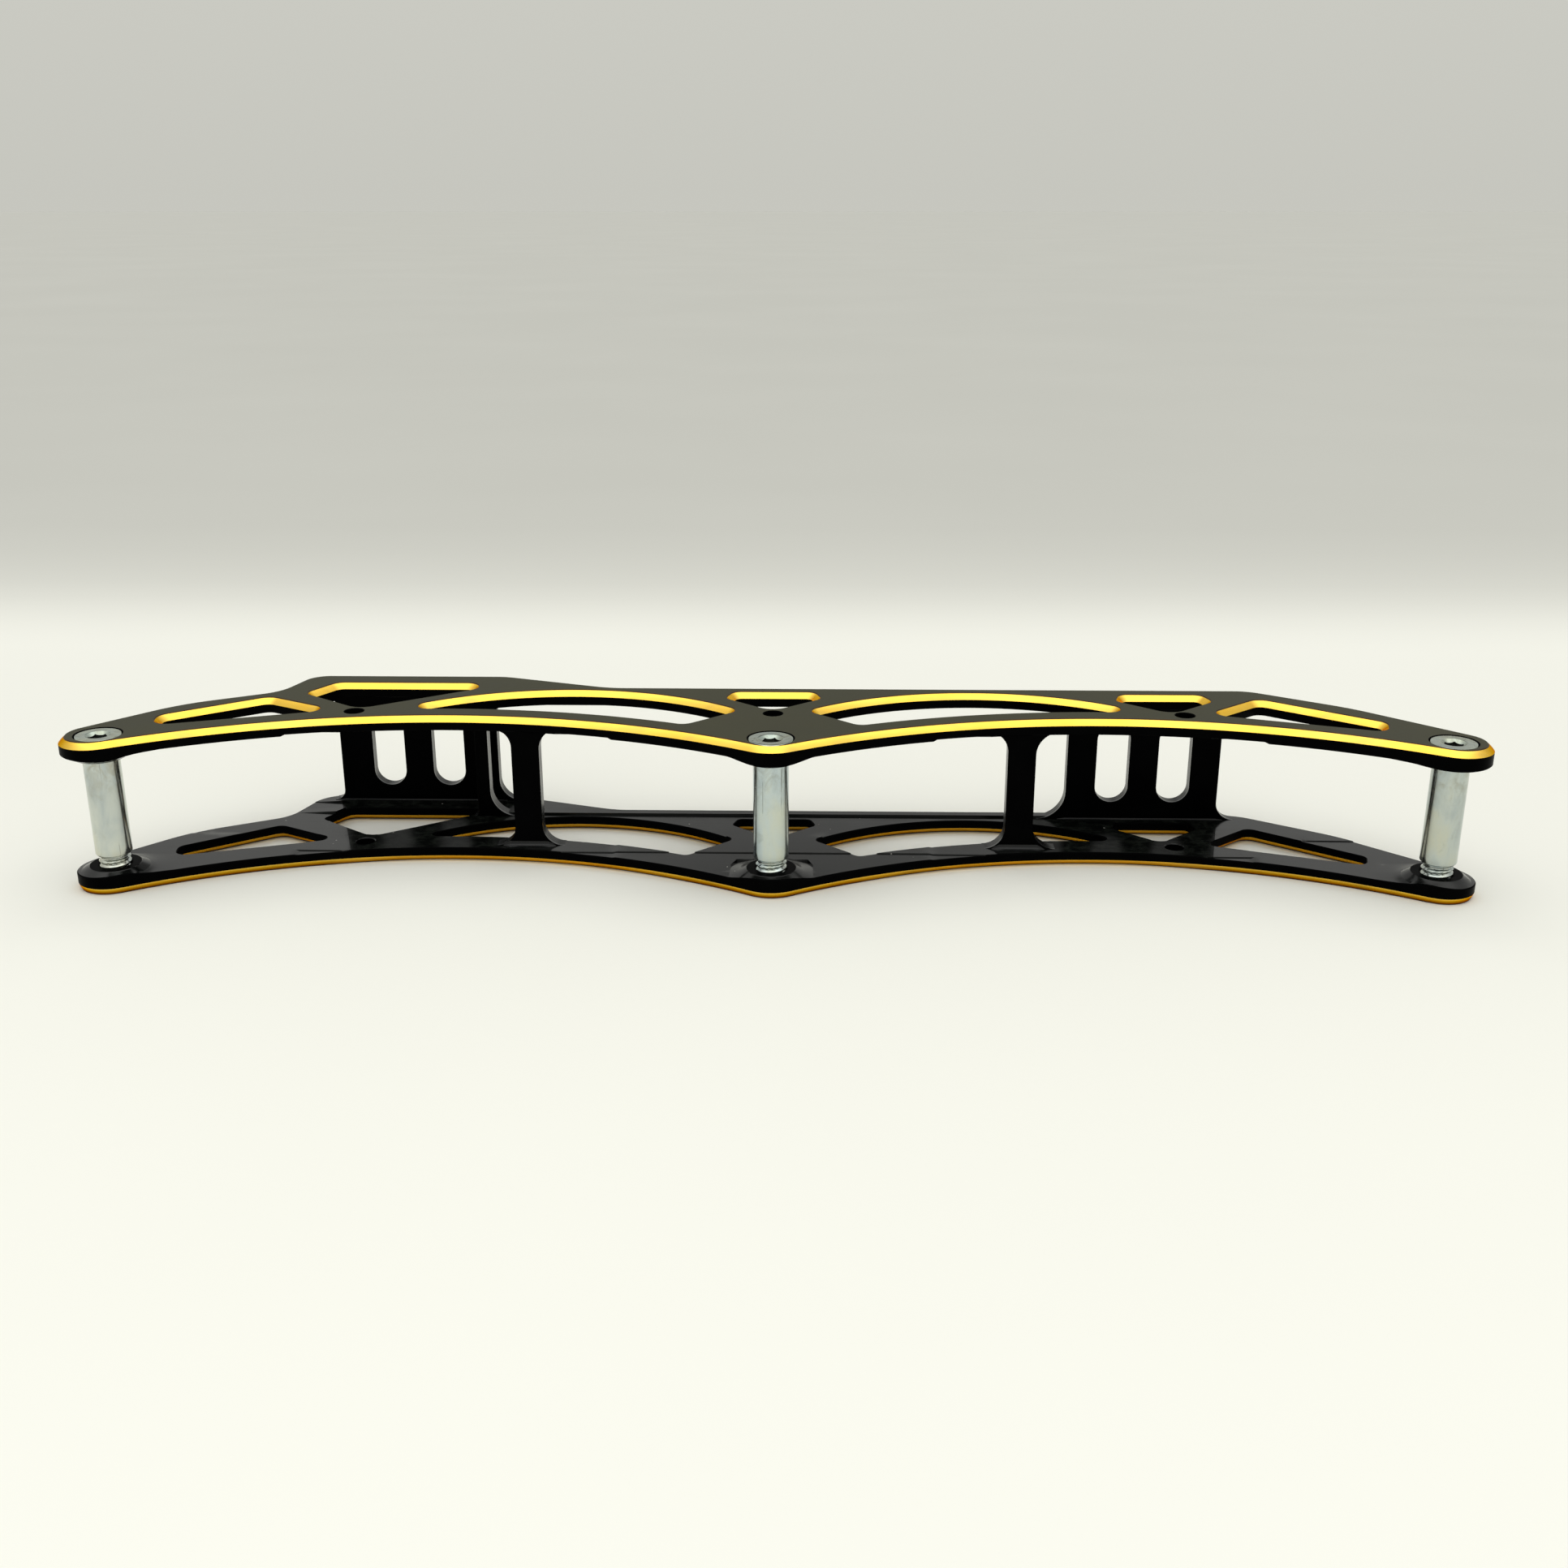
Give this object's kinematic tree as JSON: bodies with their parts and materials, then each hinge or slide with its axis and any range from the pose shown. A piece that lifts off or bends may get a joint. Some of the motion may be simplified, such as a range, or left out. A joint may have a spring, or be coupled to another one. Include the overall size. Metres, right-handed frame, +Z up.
{
  "type": "inline skate frame",
  "caption": "Low aluminium inline skate frame: windowed side plates joined by slotted heel and toe decks and braces, with axle screws that draw out sideways to fit the wheels.",
  "frame": {"origin": "on the floor under the centre of the bounding box, with the frame lying on its lower side plate", "axes": "+X towards the toe, +Y towards the boot, +Z up from the lower side plate to the upper one and along the axles"},
  "size_m": [0.3175, 0.0572, 0.036],
  "materials": {
    "black_anodised_aluminium": "black anodised satin, outer and window edges cut bright and gold",
    "zinc_plated_steel": "bright zinc plate with light handling marks"
  },
  "bodies": {
    "frame": {"upper_side_plate": "black_anodised_aluminium", "lower_side_plate": "black_anodised_aluminium", "heel_mount_deck": "black_anodised_aluminium", "heel_inner_rib": "black_anodised_aluminium", "toe_mount_deck": "black_anodised_aluminium", "heel_brace": "black_anodised_aluminium", "toe_brace": "black_anodised_aluminium"},
    "heel_axle": {"axle_heel": "zinc_plated_steel"},
    "middle_axle": {"axle_middle": "zinc_plated_steel"},
    "toe_axle": {"axle_toe": "zinc_plated_steel"}
  },
  "joints": [
    {"name": "axle_heel_draw", "type": "slide", "parent": "frame", "child": "heel_axle", "axis": [0, 0, 1], "range_m": [0, 0.08]},
    {"name": "axle_middle_draw", "type": "slide", "parent": "frame", "child": "middle_axle", "axis": [0, 0, 1], "range_m": [0, 0.08]},
    {"name": "axle_toe_draw", "type": "slide", "parent": "frame", "child": "toe_axle", "axis": [0, 0, 1], "range_m": [0, 0.08]}
  ]
}
